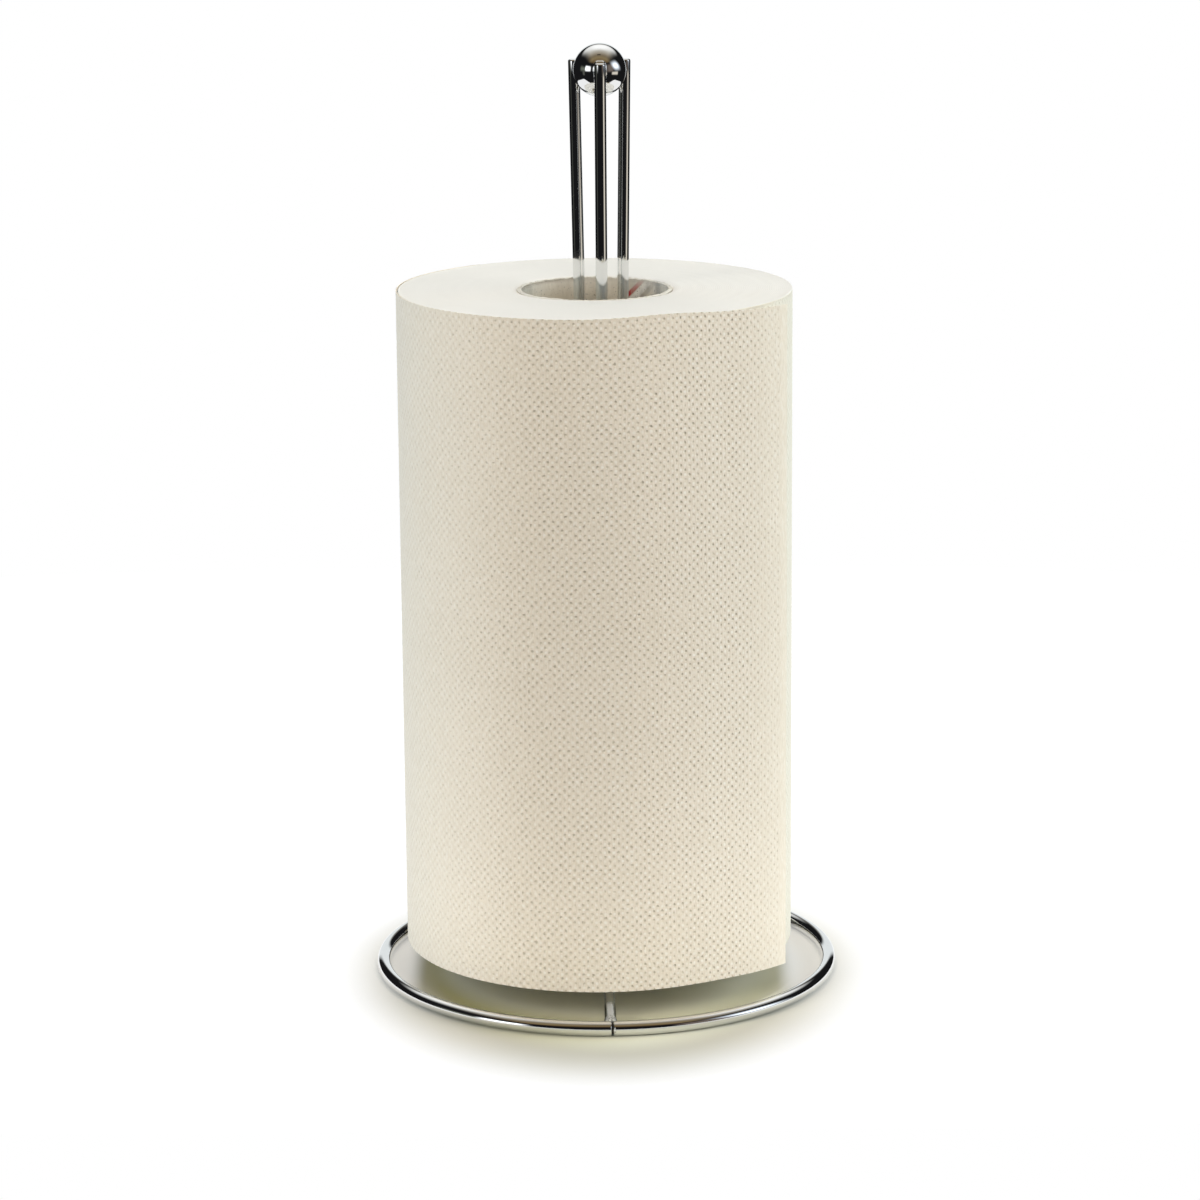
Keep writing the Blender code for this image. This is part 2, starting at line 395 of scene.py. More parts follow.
def paper_material():
    """Soft cream tissue with crepe lines. Its dimples are in the mesh, and sharpened here by bump,
    by painted shade in their pits and by a painted highlight on the ridges between them.

    The attributes along and height place the dimples. How far along also sets how strongly the
    paper is pressed: weakly at the sheet's start, fully near the lap, weakly at the free edge.
    """
    made = Nodes("towel_paper")
    clouds = made.noise(38.0, 3.0, 0.55)
    fibres = made.noise(1400.0, 4.0, 0.7, made.stretched((1.0, 1.0, 0.45)))
    crepe = made.noise(1900.0, 2.0, 0.6, made.stretched((1.0, 1.0, 0.22)))
    wander = made.sum(made.noise(260.0, 1.0), 0.5, "SUBTRACT")
    patches = made.noise(330.0, 1.0, vector=made.stretched((1.0, 1.0, 1.0), (3.1, 1.7, 0.4)))
    from_start, from_low = made.attribute("along"), made.attribute("height")
    along = made.sum(from_start, made.times(wander, 0.0009))
    height = made.sum(from_low, made.times(wander, -0.0007))
    columns = made.sum(made.times(along, TURN / DIMPLE_STEP), 0.0, "COSINE")
    rows = made.sum(made.times(height, TURN * DIMPLE_ROWS / ROLL_LENGTH), 0.0, "COSINE")
    marks = made.times(columns, rows)
    strength = made.times(
        made.spread(patches, 0.32, 0.68, 0.45, 1.25),
        made.attribute("embossed"),
        made.spread(from_start, 0.095, 0.170, 0.45, 1.0, True),
        made.spread(from_start, 0.207, 0.224, 1.0, 0.42, True),
    )
    # the pits get the dimples' bump and painted shade in their hollows; the ridges between them get
    # a painted highlight
    pits = made.times(made.spread(marks, 0.40, 1.0, 0.0, 1.0, True), strength)
    painted_ridge_light = made.times(made.spread(marks, -0.20, -0.95, 0.0, 1.0, True), strength)
    base = made.blend(clouds, (0.865, 0.776, 0.624), (0.905, 0.818, 0.668))
    base = made.blend(made.spread(crepe, 0.34, 0.54, 0.20, 0.0), base, (0.64, 0.55, 0.40))
    base = made.blend(made.spread(crepe, 0.54, 0.72, 0.0, 0.34), base, (0.98, 0.94, 0.85))
    # painted shadow of the loose end on the wound paper beside it
    painted_flap_shadow = made.spread(from_start, -0.050, -0.012, 0.26, 0.0, True)
    base = made.blend(painted_flap_shadow, base, (0.50, 0.50, 0.40))
    base = made.blend(made.times(painted_ridge_light, 0.72), base, (0.99, 0.945, 0.83))
    made.set(
        Base_Color=made.blend(made.times(pits, 0.36), base, (0.47, 0.38, 0.25)),
        Roughness=made.spread(fibres, 0.2, 0.8, 0.86, 0.99),
        Specular_IOR_Level=0.15,
        Sheen_Weight=0.12,
        Sheen_Roughness=0.6,
        Normal=made.bump(
            made.sum(made.times(crepe, 0.36), made.times(pits, 0.70), "SUBTRACT"),
            1.0,
            0.00042,
            made.bump(fibres, 0.35, 0.00012),
        ),
    )
    return made.material


def cut_paper_material():
    """The cut ends of the roll: paler, with the edges of the layers as faint rings."""
    made = Nodes("towel_paper_cut")
    clouds = made.noise(45.0, 3.0)
    wave = made.add(
        "ShaderNodeTexWave",
        {"wave_type": "RINGS", "rings_direction": "Z"},
        Vector=made.stretched((1.0, 1.0, 1.0), (-ROLL_X, 0.0, 0.0)),
        Scale=520.0,
        Distortion=3.0,
        Detail=3.0,
        Detail_Scale=0.4,
    ).outputs["Fac"]
    base = made.blend(clouds, (0.810, 0.775, 0.700), (0.845, 0.812, 0.742))
    made.set(
        Base_Color=made.blend(made.times(wave, 0.22), base, (0.76, 0.72, 0.62)),
        Roughness=made.spread(clouds, 0.3, 0.7, 0.90, 0.98),
        Specular_IOR_Level=0.12,
        Normal=made.bump(wave, 0.30, 0.00010),
    )
    return made.material


CHROME = chrome_material()
WELD = weld_material()
BOARD = board_material()
PAPER = paper_material()
CUT_PAPER = cut_paper_material()

# ---------------------------------------------------------------- wire holder


def spoke_point(radius, azimuth):
    """A point of a spoke's middle line, at a distance from the post."""
    return polar(azimuth, radius, RING_Z + (RING_R - radius) * math.tan(SPOKE_RISE))


def upright_radius(height):
    (low_r, low_z), (top_r, top_z) = UPRIGHT_LOW, UPRIGHT_TOP
    return low_r + (top_r - low_r) * (height - low_z) / (top_z - low_z)


def upright_point(height, azimuth):
    return polar(azimuth, upright_radius(height), height)


def rod_line(azimuth, steps=36):
    """The middle of one rod: the spoke, its bend and the upright."""
    (low_r, low_z), (top_r, top_z) = UPRIGHT_LOW, UPRIGHT_TOP
    lean = math.atan2(top_r - low_r, top_z - low_z)
    turn = math.pi / 2 - SPOKE_RISE + lean
    rise = math.tan(SPOKE_RISE)
    corner_z = (RING_Z + (RING_R - upright_radius(0)) * rise) / (1 + math.tan(lean) * rise)
    corner = Vector((upright_radius(corner_z), corner_z))
    along = Vector((-math.cos(SPOKE_RISE), math.sin(SPOKE_RISE)))
    start = corner - along * BEND_R * math.tan(turn / 2)
    centre = start + Vector((along.y, -along.x)) * BEND_R
    arm = start - centre
    line = [spoke_point(radius, azimuth) for radius in np.linspace(SPOKE_START, start.x, 24)[:-1]]
    for step in range(steps + 1):
        place = centre + Matrix.Rotation(-turn * step / steps, 2) @ arm
        line.append(polar(azimuth, place.x, place.y))
    last = line[-1][2]
    line += [upright_point(height, azimuth) for height in np.linspace(last, top_z, 60)[1:]]
    return line


def build_ring():
    """The ring: one wire whose rounded ends meet at the seam."""
    half_gap = RING_GAP / 2 / RING_R
    azimuths = SEAM_AZIMUTH + np.linspace(half_gap, TURN - half_gap, 541)
    path = [polar(azimuth, RING_R, RING_Z) for azimuth in azimuths]
    line, radii = rounded(path, RING_WIRE_R, RING_BEVEL)
    points, faces = tube(line, radii, 48)
    add_piece("ring_wire", points, faces, [CHROME], "holder", ["base_ring"])


def build_seam():
    """The weld in the seam: a core between the ends and a small raised bead beside it."""
    along = polar(SEAM_AZIMUTH + math.pi / 2, 1.0, 0)
    outward = polar(SEAM_AZIMUTH, 1.0, 0)
    seam = polar(SEAM_AZIMUTH, RING_R, RING_Z)
    core_line = [seam + along * s for s in np.linspace(-0.0008, 0.0008, 7)]
    core = tube(core_line, [RING_WIRE_R * 0.76] * 7, 24, 0.00006, 0.0006, 3)
    bead_line = []
    for angle in np.linspace(math.radians(-38), math.radians(34), 15):
        around = outward * math.cos(angle) + np.array((0.0, 0.0, 1.0)) * math.sin(angle)
        bulge = 0.00105 - 0.00040 * math.cos(angle * 2)
        bead_line.append(seam + around * (RING_WIRE_R - 0.00020) + along * bulge)
    sizes = 0.00010 + 0.00024 * np.sin(np.linspace(0.05, math.pi - 0.05, 15))
    bead = tube(bead_line, sizes, 16, 0.00005, 0.0007, 5)
    points, faces = joined([core, bead])
    nodes = ["ring_seam_weld"]
    piece = add_piece("ring_seam", points, faces, [WELD], "holder", nodes)
    # painted shade on the core, deep in the gap between the wire's ends
    add_value(piece, "painted_shade", np.arange(len(points)) < len(core[0]))


def frost_and_side_shade(points):
    """How frosted a spoke's top is beside the weld, and how much painted shade darkens its sides
    there.
    """
    from_middle = np.hypot(points[:, 0], points[:, 1])
    above = (points[:, 2] - RING_Z - (RING_R - from_middle) * math.tan(SPOKE_RISE)) / ROD_R
    return np.clip((above - 0.76) / 0.12, 0, 1), np.clip((0.76 - above) / 0.10, 0, 1)


def build_rod(side, azimuth):
    """One bent wire, frosted on top beside the weld to the ring, with painted shade on its sides
    there.
    """
    line, radii = rounded(rod_line(azimuth), ROD_R, ROD_BEVEL)
    points, faces = tube(line, radii, 40)
    nodes = [f"{side}_rod"]
    piece = add_piece(f"{side}_wire", points, faces, [CHROME], "holder", nodes)
    from_middle = np.hypot(points[:, 0], points[:, 1])
    dull, painted_side_shade = frost_and_side_shade(points)
    near = np.clip((from_middle - 0.058) / 0.004, 0, 1)
    add_value(piece, "dull", dull * near)
    # painted shade on the wire's sides beside the weld
    add_value(piece, "painted_side_shade", painted_side_shade * near)


def build_spoke_weld(side, azimuth):
    """The weld round a spoke's end, spreading on to the ring, with two runs of spatter beads."""
    seed = list(ROD_AZIMUTHS).index(side) + 11
    line = [spoke_point(radius, azimuth) for radius in np.linspace(*SPOKE_WELD, 26)]
    outwards = np.linspace(0, 1, 26)
    flare = 0.00018 * np.sin(outwards * math.pi) + 0.00030 * np.clip(outwards - 0.55, 0, 1)
    sizes = ROD_R + 0.00006 + flare
    sizes[0] = ROD_R - 0.0002
    parts = [tube(line, sizes, 40, 0.00011, 0.0008, seed)]
    across = polar(azimuth + math.pi / 2, 1.0, 0)
    for turn in (-1, 1):
        middle = spoke_point(RING_R - RING_WIRE_R + 0.0001, azimuth) + across * turn * ROD_R * 0.95
        bead_line = [middle + across * turn * s for s in np.linspace(-0.0004, 0.0009, 9)]
        bead_sizes = 0.00055 * np.sin(np.linspace(0.25, math.pi - 0.12, 9))
        parts.append(tube(bead_line, bead_sizes, 14, 0.00012, 0.0006, seed + turn))
    points, faces = joined(parts)
    nodes = [f"{side}_spoke_weld"]
    piece = add_piece(f"{side}_spoke_bead", points, faces, [WELD], "holder", nodes)
    # painted shade on the weld's lower sides, in place of the dark floor that they reflect
    add_value(piece, "painted_shade", frost_and_side_shade(points)[1] * 0.85)


def build_ball():
    """The ball, whose skin draws up into a fillet along each rod that is let into it."""
    bm = bmesh.new()
    bmesh.ops.create_icosphere(bm, subdivisions=7, radius=BALL_R)
    points = np.array([v.co for v in bm.verts]) + (0.0, 0.0, BALL_Z)
    faces = [[v.index for v in face.verts] for face in bm.faces]
    bm.free()
    out = (points - (0.0, 0.0, BALL_Z)) / BALL_R
    fillet_width, fillet_rise = 0.0007, 0.00040
    for azimuth in ROD_AZIMUTHS.values():
        low, top = upright_point(0.285, azimuth), upright_point(UPRIGHT_TOP[1], azimuth)
        length = np.linalg.norm(top - low)
        axis = (top - low) / length
        reach = (points - low) @ axis
        apart = np.linalg.norm(points - (low + axis * reach[:, None]), axis=1)
        above = np.clip((reach - length) / 0.0008, 0, 1)
        rise = np.clip(1 - (apart - ROD_R) / fillet_width, 0, 1) ** 2 * fillet_rise * (1 - above)
        points = points + out * rise[:, None]
    add_piece("ball", points, faces, [CHROME], "holder", ["finial_ball"])


def build_ball_weld(side, azimuth):
    """Two beads of weld, one on each side of a rod, where it lies in the ball."""
    seed = list(ROD_AZIMUTHS).index(side) + 21
    across = polar(azimuth + math.pi / 2, 1.0, 0)
    middle = np.array((0.0, 0.0, BALL_Z))
    parts = []
    for turn in (-1, 1):
        line = []
        for height in np.linspace(BALL_Z - 0.0035, UPRIGHT_TOP[1] + 0.0002, 22):
            place = upright_point(height, azimuth) + across * turn * ROD_R * 0.90
            outward = (place - middle) / np.linalg.norm(place - middle)
            line.append(middle + outward * (BALL_R + 0.00008))
        sizes = 0.00054 * np.sin(np.linspace(0.25, math.pi - 0.25, 22)) ** 0.6
        parts.append(tube(line, sizes, 14, 0.00014, 0.0009, seed * turn))
    points, faces = joined(parts)
    nodes = [f"{side}_ball_weld"]
    add_piece(f"{side}_ball_bead", points, faces, [WELD], "holder", nodes)


# ---------------------------------------------------------------- core and paper


def smooth_noise(x, y, z=0.0):
    return noise.noise(Vector((x, y, z)))


def noise_round(azimuths, scale, z=0.0):
    """Smooth noise that closes on itself round the roll's axis."""
    return np.array([smooth_noise(scale * math.cos(a), scale * math.sin(a), z) for a in azimuths])


def closing_faces(rows, columns):
    """Quads from the last row of a closed grid back to its first."""
    last = (rows - 1) * columns
    after = [*range(1, columns), 0]
    return [[last + j, last + k, k, j] for j, k in enumerate(after)]


def torn_fibres():
    """Thin fibres that lean in from the core's rim, most of them at the back left."""
    rng = np.random.default_rng(7)
    fibres = []
    for _ in range(110):
        a = math.radians(rng.normal(135, 26)) if rng.random() < 0.7 else rng.uniform(0, TURN)
        radius = rng.uniform(CORE_HOLE_R - 0.0001, CORE_R - 0.0003)
        length = rng.uniform(0.0008, 0.0026)
        heading = rng.uniform(-1.2, 1.2)
        inward = polar(a + heading, -1.0, 0)
        start = polar(a, radius, ROLL_TOP - 0.0006) + (ROLL_X, 0, 0)
        lift = rng.uniform(-0.0006, 0.0007)
        line = []
        for t in np.linspace(0, 1, 6):
            curl = 0.0003 * math.sin(t * math.pi) * rng.uniform(0.3, 1.0)
            line.append(start + inward * length * t + (0, 0, lift * t + curl))
        fibres.append(tube(line, np.linspace(0.00007, 0.00003, 6), 5))
    return fibres


def build_core():
    """The tube of wound board: ragged cut ends, a spiral seam, and torn fibres on the rim."""
    columns, wall_rows = 256, 90
    azimuths = np.arange(columns) / columns * TURN
    ragged = np.abs(noise_round(azimuths, 9))
    fine = noise_round(azimuths, 40, 5)
    none, full = np.zeros(columns), np.ones(columns)
    rows, edge, seam = [], [], []

    def add_row(radii, heights, cut, dark):
        x, y = ROLL_X + radii * np.cos(azimuths), radii * np.sin(azimuths)
        rows.append(np.stack([x, y, heights], -1))
        edge.append(np.full(columns, cut))
        seam.append(dark)

    # bottom rim, from the hole outwards
    ply = (CORE_R - CORE_HOLE_R) / CORE_PLIES
    for k in range(CORE_PLIES + 1):
        radius = CORE_R - ply * (CORE_PLIES - k) * 0.999
        drop = 0.00022 * ragged + 0.00010 * np.abs(fine) * (k % 2)
        add_row(full * radius, ROLL_LOW + drop, 1.0, none)
    # outer wall, bottom to top
    for height in np.linspace(ROLL_LOW + 0.002, ROLL_TOP - 0.002, 6):
        add_row(full * CORE_R, full * height, 0.0, none)
    # top rim, inwards, with two rows to each ply
    last = 2 * CORE_PLIES
    for k in range(last + 1):
        radius = CORE_R - (CORE_R - CORE_HOLE_R) * k / last
        drop = 0.00006 + 0.00040 * ragged + 0.00022 * np.abs(fine + 0.3 * math.sin(k * 2.4))
        drop = drop + (0.00016 if k % 2 else 0.0) + (0.00022 if k in (0, last) else 0.0)
        add_row(full * radius, ROLL_TOP - drop, 1.0 if 0 < k < last else 0.75, none)
    # inner wall, top to bottom, with the spiral seam as a low step
    for i in range(1, wall_rows):
        height = ROLL_TOP - 0.0004 - (ROLL_LENGTH - 0.0012) * i / wall_rows
        phase = (azimuths - PRINT_AZIMUTH - SPIRAL * (ROLL_TOP - height) + 0.205) % TURN
        step = np.exp(-((np.minimum(phase, TURN - phase)) / 0.05) ** 2)
        bulge = 0.00022 * step + 0.00010 * noise_round(azimuths, 6, height * 60)
        fade = 1.0 if i > 1 else 0.5
        add_row(CORE_HOLE_R - bulge * fade, full * height, 0.35 if i == 1 else 0.0, step * 0.55)
    faces = grid_faces(len(rows), columns, wrap=True) + closing_faces(len(rows), columns)
    points, faces = joined([(np.vstack(rows), faces), *torn_fibres()])
    nodes = ["cardboard_core"]
    piece = add_piece(
        "core_tube", points, faces, [BOARD], "core", nodes, sharp=50.0
    )
    extra = len(points) - len(rows) * columns
    add_value(piece, "cut_edge", np.concatenate([*edge, np.full(extra, 0.45)]))
    add_value(piece, "seam", np.concatenate([*seam, np.full(extra, 0.15)]))


def dimple(along, height):
    """How deep the embossing is, from 0 to 1, at a place along the paper and up the roll."""
    columns = np.cos(TURN * along / DIMPLE_STEP)
    rows = np.cos(TURN * height * DIMPLE_ROWS / ROLL_LENGTH)
    return ((1 + columns * rows) / 2) ** 1.5


def heights_of_rows():
    """Heights of the mesh rows of embossed paper, from the roll's lower end."""
    return np.linspace(0.0, ROLL_LENGTH, DIMPLE_ROWS * PER_DIMPLE + 1)


def build_sheet():
    """The last sheet: lapped round the roll, then straight to its free edge."""
    rows = heights_of_rows()
    along = np.linspace(0.0, SHEET_LENGTH, DIMPLE_COLUMNS * PER_DIMPLE + 1)
    lap = SHEET_LENGTH - FLAP_LENGTH
    freed = np.clip((along - lap + FLAP_LOOSE) / (FLAP_LENGTH + FLAP_LOOSE), 0, 1)
    bow = FLAP_BOW * 6.75 * freed**2 * (1 - freed)  # 6.75 makes the highest value FLAP_BOW
    raised = SHEET_RAISED * np.exp(-(((along - lap + 0.016) / 0.018) ** 2))
    angles = FLAP_AZIMUTH - np.clip(lap - along, 0, None) / SHEET_INNER_R
    past = np.clip(along - lap, 0, None)
    out = np.stack([np.cos(angles), np.sin(angles)], -1)
    tangent = np.stack([-np.sin(angles), np.cos(angles)], -1)
    s, z = np.meshgrid(along, rows)
    embossed = np.clip((SHEET_LENGTH - PLAIN_STRIP - s) / 0.0006, 0, 1)
    marks = dimple(s, z) * embossed
    marks[[0, -1]] *= EDGE_MARKS
    coarse = rows[::10]
    lean = np.array([[smooth_noise(a * 60, b * 22, 3.0) for a in along] for b in coarse])
    lean = np.array([np.interp(rows, coarse, column) for column in lean.T]).T
    lift = FLAP_WRINKLE * lean * np.clip(past / FLAP_LENGTH, 0, 1)
    meshes = []
    for skin, radius in enumerate((SHEET_INNER_R + SHEET_THICKNESS, SHEET_INNER_R)):
        depth = DIMPLE_DEPTH * marks * (1.0 if skin == 0 else 0.75)
        reach = radius - depth + lift + bow
        if skin == 1:  # the inner skin stays clear of the wound paper
            reach = np.maximum(reach, SHEET_INNER_R - 0.00012 + lift + bow)
        x = ROLL_X + reach * out[:, 0] + past * tangent[:, 0]
        y = reach * out[:, 1] + past * tangent[:, 1]
        heights = ROLL_LOW + z * (1 + raised / ROLL_LENGTH)
        meshes.append(np.stack([x, y, heights], -1).reshape(-1, 3))
    count, columns = len(meshes[0]), len(along)
    faces = grid_faces(len(rows), columns) + grid_faces(len(rows), columns, first=count)
    rim = (
        list(range(columns))
        + [i * columns + columns - 1 for i in range(1, len(rows))]
        + [(len(rows) - 1) * columns + j for j in range(columns - 2, -1, -1)]
        + [i * columns for i in range(len(rows) - 2, 0, -1)]
    )
    for first, second in zip(rim, rim[1:] + rim[:1]):
        faces.append([first, second, second + count, first + count])
    points, nodes = np.vstack(meshes), ["outer_sheet"]
    piece = add_piece(
        "outer_paper", points, faces, [PAPER], "paper", nodes, sharp=60.0
    )
    for name, values in (("along", s), ("height", z), ("embossed", embossed)):
        add_value(piece, name, np.stack([values, values]))


def build_roll():
    """The wound paper: an embossed side where the outer sheet leaves it bare, and layered ends."""
    rows = heights_of_rows()
    perforation = FLAP_AZIMUTH - (SHEET_LENGTH - FLAP_LENGTH) / SHEET_INNER_R
    bare = TURN + perforation - FLAP_AZIMUTH
    step = DIMPLE_STEP / PER_DIMPLE / SHEET_INNER_R
    count = int(bare / step)
    turned = np.arange(count + 1) * step
    hidden = np.linspace(turned[-1], TURN, 34)[1:-1]
    azimuths = FLAP_AZIMUTH + np.concatenate([turned, hidden])
    swell = np.concatenate(
        [turned / turned[-1] * ROLL_SWELL, np.linspace(0.00012, 0.0, len(hidden))]
    )
    shown = np.concatenate([np.ones(count + 1), np.zeros(len(hidden))])
    columns = len(azimuths)
    s, z = np.meshgrid(np.concatenate([turned, hidden]) * SHEET_INNER_R, rows)
    marks = dimple(s, z) * shown
    marks[[0, -1]] *= EDGE_MARKS
    cos, sin = np.cos(azimuths), np.sin(azimuths)

    def ring(radii, heights):
        return np.stack([ROLL_X + radii * cos, radii * sin, heights + np.zeros(columns)], -1)

    def end_rings(end, turn):
        """The cut end from the hole outwards, its layers pushed up and down a little."""
        made = []
        for k, radius in enumerate(np.linspace(CORE_R + 0.00010, PAPER_R - ROLL_ROUND, 27)):
            shift = noise_round(azimuths, 2.2, k * 0.9 + turn * 31)
            sink = 0.00014 + 0.00013 * shift + (0.00012 if k % 3 == 0 else 0.0)
            sink = sink + (0.00050 if k == 0 else 0.0)
            made.append(ring(radius, end - turn * sink))
        for inset, sink in ((0.00055, 0.00003), (0.00028, 0.00002), (0.00010, 0.00012)):
            made.append(ring(PAPER_R + swell - inset, end - turn * sink))
        return made

    bottom = end_rings(ROLL_LOW, -1.0)
    top = end_rings(ROLL_TOP, 1.0)[::-1]
    side = [
        ring(PAPER_R + swell - DIMPLE_DEPTH * marks[i], ROLL_LOW + rows[i])
        for i in range(1, len(rows) - 1)
    ]
    points = np.vstack(bottom + side + top)
    total = len(bottom) + len(side) + len(top)
    faces = grid_faces(total, columns, wrap=True) + closing_faces(total, columns)
    band = np.arange(total - 1)
    cut = (band < len(bottom) - 1) | (band >= len(bottom) + len(side))
    parts = np.concatenate([np.repeat(cut.astype(int), columns), np.ones(columns, int)])
    materials, nodes = [PAPER, CUT_PAPER], ["paper_roll"]
    piece = add_piece(
        "wound_paper", points, faces, materials, "paper", nodes, 60.0, parts
    )
    span = slice(len(bottom), len(bottom) + len(side))
    # a shift by whole dimples puts this side where the material presses them weakly
    along = s - 40 * DIMPLE_STEP
    for name, grid in (("along", along), ("height", z), ("embossed", shown + 0 * z)):
        values = np.zeros((total, columns))
        values[span] = grid[1:-1]
        add_value(piece, name, values)


# ---------------------------------------------------------------- stage


def build_floor():
    """A pale floor with round corners, whose painted shadow and painted light fade out away from
    the object.
    """
    middle_x, half_width, to_back, to_front, squareness = -0.04, 0.52, 0.60, 0.160, 0.55
    mesh = bpy.data.meshes.new("floor")
    corners = []
    for turn in np.arange(160) / 160 * TURN:
        x = math.copysign(abs(math.cos(turn)) ** squareness, math.cos(turn)) * half_width
        y = math.copysign(abs(math.sin(turn)) ** squareness, math.sin(turn))
        corners.append((x + middle_x, y * (to_back if y > 0 else to_front), 0.0))
    mesh.from_pydata(corners, [], [list(range(len(corners)))])
    floor = bpy.data.objects.new("floor", mesh)
    bpy.context.scene.collection.objects.link(floor)
    made = Nodes("floor")
    x, y, _ = made.split(made.place)
    reach = made.sum(made.sum(made.times(x, x), made.times(y, y)), 0.5, "POWER")
    # the distance that the painted shadow fades by: soonest at the sides, latest in front
    deep = made.sum(made.times(y, 0.90), made.times(y, 1.15), "MAXIMUM")
    away = made.sum(made.sum(made.times(x, x, 1.5625), made.times(deep, deep)), 0.5, "POWER")
    specks = made.noise(30.0, 3.0)
    # painted shade of the floor near the object, a little speckled
    painted_floor_shade = made.blend(specks, (0.645, 0.605, 0.495), (0.665, 0.625, 0.515))
    # within the ring, painted shadow: olive in front of the roll, darkest at its edge, plainer
    # under it
    shade = made.blend(made.spread(x, -0.055, 0.012), (0.52, 0.475, 0.235), (0.94, 0.91, 0.71))
    roll_edge = made.spread(reach, 0.0640, 0.0658, 0.44, 0.0, True)
    shade = made.blend(roll_edge, shade, (0.28, 0.235, 0.05))
    under_roll = made.spread(reach, 0.050, 0.0635, 1.0, 0.0, True)
    shade = made.blend(under_roll, shade, (0.645, 0.615, 0.48))
    # and painted light: pale on the roll's left and right
    beside = made.spread(made.band(x, -0.0640, 0.0600, 0.0040), 0.0, 1.0, 1.0, 0.0)
    shade = made.blend(beside, shade, (0.80, 0.82, 0.79))
    within = made.spread(away, 0.068, 0.086, 1.0, 0.0, True)
    painted_floor_shade = made.blend(within, painted_floor_shade, shade)
    # painted contact shadow just outside the ring
    outside = made.spread(reach, 0.0755, 0.0790, 0.55, 0.0, True)
    painted_contact_shadow = made.times(made.spread(reach, 0.0735, 0.0750), outside)
    painted_floor_shade = made.blend(painted_contact_shadow, painted_floor_shade, (0.30, 0.32, 0.30))
    # where the painted shadow fades into the white, the floor glows and takes hardly any shading;
    # beside the roll the painted light glows a little too
    beside = made.times(beside, made.spread(reach, 0.0735, 0.0755, 0.40, 0.0))
    fade = made.sum(made.spread(away, 0.080, 0.118, 0.0, 1.0, True), beside, "MAXIMUM")
    made.set(
        Base_Color=made.blend(fade, painted_floor_shade, (0.10, 0.10, 0.10)),
        Roughness=0.8,
        Specular_IOR_Level=0.1,
        Emission_Color=(1.0, 1.0, 1.0, 1.0),
        Emission_Strength=made.spread(fade, 0.0, 1.0, 0.0, 0.95),
    )
    mesh.materials.append(made.material)


def build_world():
    """White behind the object. Reflections see a dark studio with a ceiling, windows and a wall.

    The ceiling runs from dark in front over brown to white at the back. place is a direction here,
    so x, y and z are between -1 and 1.
    """
    world = bpy.data.worlds.new("studio")
    bpy.context.scene.world = world
    made = Nodes("studio", world)
    x, y, z = made.split(made.place)
    azimuth = made.sum(x, made.times(y, -1.0), "ARCTAN2")  # 0 in front, positive to the right

    def window(before, left, right, low, high, soft, colour, value=azimuth):
        """One soft-edged window, between two azimuths in degrees and two heights."""
        mask = made.band(value, math.radians(left), math.radians(right), math.radians(soft))
        mask = made.times(mask, made.band(z, low, high, math.radians(soft)))
        return made.blend(mask, before, colour)

    ramp = made.add("ShaderNodeValToRGB", Fac=made.spread(y, -0.9, 0.8))
    stops = ramp.color_ramp.elements
    stops[0].position, stops[0].color = 0.03, (0.012, 0.010, 0.008, 1)
    stops[1].position, stops[1].color = 0.95, (1.0, 1.0, 0.98, 1)
    for position, colour in (
        (0.098, (0.10, 0.065, 0.032)),
        (0.165, (0.20, 0.135, 0.068)),
        (0.230, (0.28, 0.21, 0.110)),
        (0.324, (0.23, 0.18, 0.110)),
        (0.370, (0.25, 0.20, 0.140)),
        (0.453, (0.38, 0.33, 0.26)),
        (0.612, (0.62, 0.59, 0.53)),
        (0.809, (0.93, 0.93, 0.91)),
    ):
        stops.new(position).color = (*colour, 1)
    far_x, far_y = made.band(x, -0.19, 0.19, 0.08), made.spread(y, 0.68, 0.82)
    far = made.times(far_x, far_y, made.spread(z, 0.12, 0.28))
    room = made.blend(far, (0.010, 0.010, 0.011), (0.21, 0.20, 0.185))
    ceiling_z = made.spread(z, 0.47, 0.64, 0.0, 1.0, True)
    ceiling = made.times(made.band(x, -0.62, 0.62, 0.19), ceiling_z)
    room = made.blend(ceiling, room, ramp.outputs["Color"])
    cap_x, cap_y = made.band(x, -0.30, 0.36, 0.20), made.band(y, 0.30, 0.85, 0.22)
    cap = made.times(cap_x, cap_y, made.spread(z, 0.5, 0.7))
    room = made.blend(cap, room, (1.25, 1.25, 1.24))
    spot_x, spot_y = made.band(x, -0.14, 0.08, 0.05), made.band(y, -0.31, -0.22, 0.04)
    dark_spot = made.times(spot_x, spot_y, made.spread(z, 0.7, 0.8), 0.85)
    room = made.blend(dark_spot, room, (0.02, 0.015, 0.012))
    room = window(room, -90, -60, -0.02, 0.20, 6, (0.17, 0.185, 0.15))
    room = window(room, -78, -68, -0.27, 0.0, 3, (0.10, 0.105, 0.09))
    room = window(room, -64, -41, 0.005, 0.29, 5, (2.3, 2.35, 2.4))
    room = window(room, 36, 62, -0.05, 0.42, 6, (0.19, 0.155, 0.135))
    room = window(room, 56, 86, -0.25, -0.09, 3, (0.80, 0.74, 0.64))
    slanted = made.sum(azimuth, made.times(z, 0.45))
    room = window(room, 71, 99, 0.08, 0.45, 11, (1.75, 1.9, 2.1), slanted)
    wall = made.spread(y, 0.905, 0.94, 0.0, 1.0, True)
    room = made.blend(wall, room, (0.88, 0.92, 0.93))
    seen = made.add("ShaderNodeLightPath").outputs["Is Camera Ray"]
    shader = made.tree.nodes["Background"]
    made.put(shader.inputs["Color"], made.blend(seen, room, (1.0, 1.0, 1.0)))
    world.cycles_visibility.diffuse = False


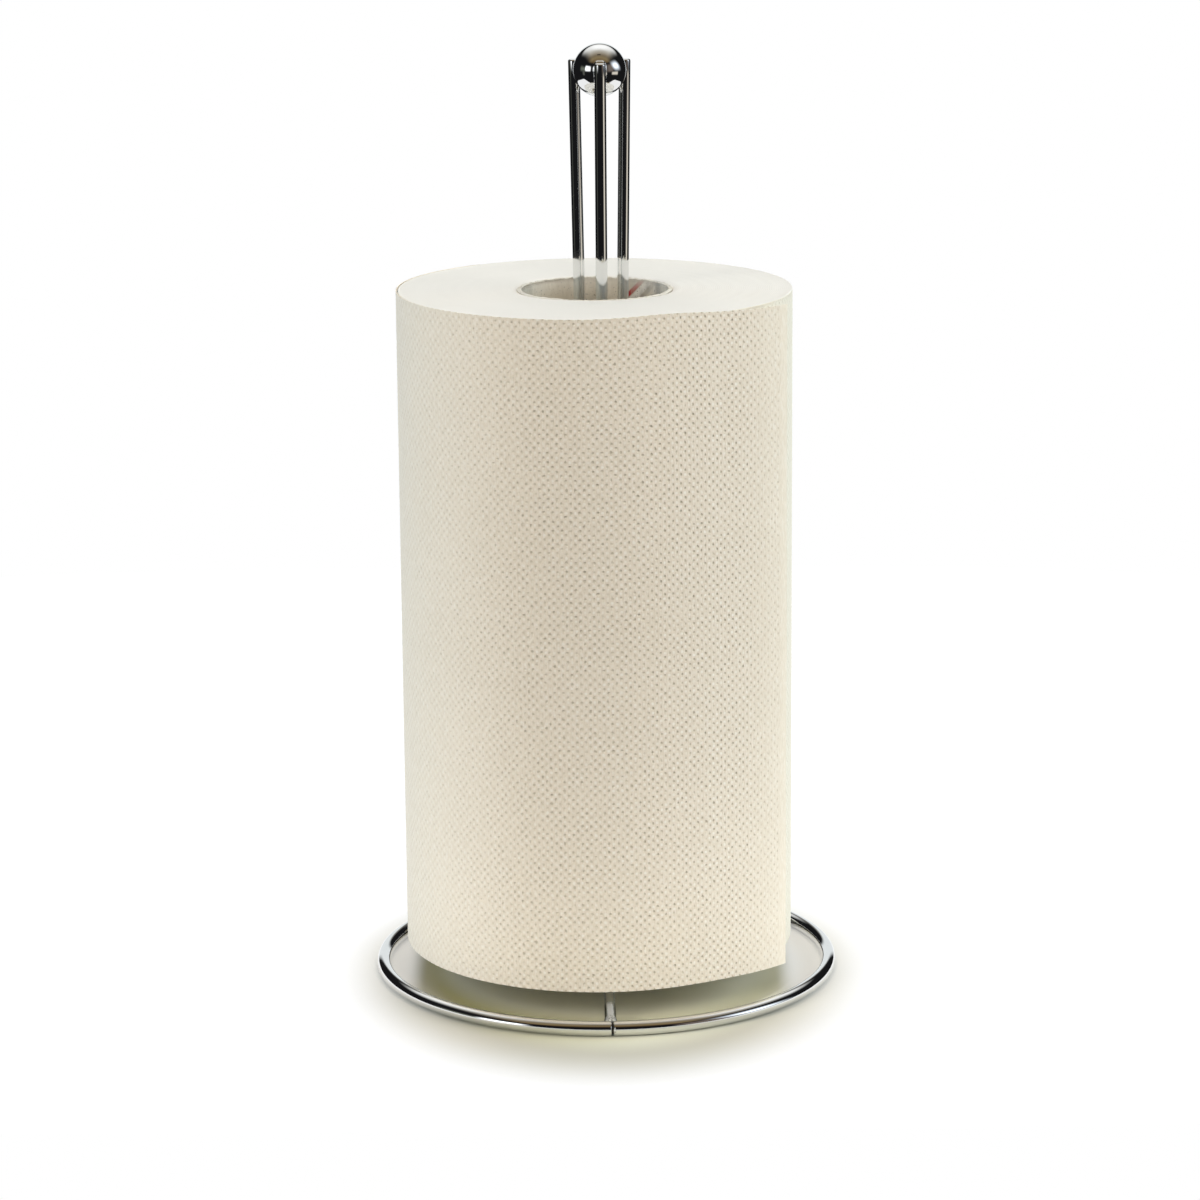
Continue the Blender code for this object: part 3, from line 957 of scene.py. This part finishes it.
def add_softbox(name, azimuth, elevation, distance, width, height, radiance, colour=(1, 1, 1)):
    """A soft light on matt surfaces, facing the roll's middle. Azimuth 0 is in front, 90 right."""
    light = bpy.data.lights.new(name, "AREA")
    light.shape = "RECTANGLE"
    light.size, light.size_y = width, height
    light.energy = radiance * math.pi * width * height
    light.color = colour
    lamp = bpy.data.objects.new(name, light)
    bpy.context.scene.collection.objects.link(lamp)
    turn, lift = math.radians(azimuth), math.radians(elevation)
    away = Vector(
        (math.sin(turn) * math.cos(lift), -math.cos(turn) * math.cos(lift), math.sin(lift))
    )
    lamp.location = Vector((0.0, 0.0, 0.20)) + away * distance
    lamp.rotation_euler = away.to_track_quat("Z", "Y").to_euler()
    lamp.visible_camera = False
    lamp.visible_glossy = False


def build_lights():
    add_softbox("top_light", 180, 62, 1.5, 1.25, 1.15, 3.6)
    add_softbox("left_light", -52, 17, 1.3, 0.50, 0.70, 7.0, (1.0, 0.985, 0.95))
    add_softbox("right_light", 80, 16, 1.3, 0.85, 0.80, 5.8, (0.98, 0.995, 1.0))
    add_softbox("left_fill", -108, 12, 1.3, 0.50, 0.70, 4.8, (0.40, 0.68, 1.0))
    add_softbox("right_fill", 112, 12, 1.3, 0.50, 0.70, 4.4, (0.36, 0.74, 1.0))
    add_softbox("front_fill", 5, 31, 1.0, 0.80, 0.50, 3.3, (1.0, 0.97, 0.96))


def build_camera():
    """The camera of the photograph's view: a long lens, a little above the object."""
    data = bpy.data.cameras.new("camera")
    data.sensor_width = 36.0
    data.lens = CAMERA_LENS
    data.clip_start, data.clip_end = 0.05, 30.0
    pitch, yaw, roll = CAMERA_TURN
    forward = Vector(
        (math.sin(yaw) * math.cos(pitch), math.cos(yaw) * math.cos(pitch), -math.sin(pitch))
    )
    right = Vector((math.cos(yaw), -math.sin(yaw), 0.0))
    up = right.cross(forward)
    x = right * math.cos(roll) + up * math.sin(roll)
    y = up * math.cos(roll) - right * math.sin(roll)
    turn = Matrix((x, y, -forward)).transposed().to_4x4()
    camera = bpy.data.objects.new("camera", data)
    bpy.context.scene.collection.objects.link(camera)
    camera.matrix_world = Matrix.Translation(CAMERA_PLACE) @ turn
    bpy.context.scene.camera = camera


def main():
    bpy.context.scene.view_settings.view_transform = "Standard"
    build_ring()
    build_seam()
    for side, azimuth in ROD_AZIMUTHS.items():
        build_rod(side, azimuth)
        build_spoke_weld(side, azimuth)
        build_ball_weld(side, azimuth)
    build_ball()
    build_core()
    build_roll()
    build_sheet()
    build_floor()
    build_world()
    build_lights()
    build_camera()


main()
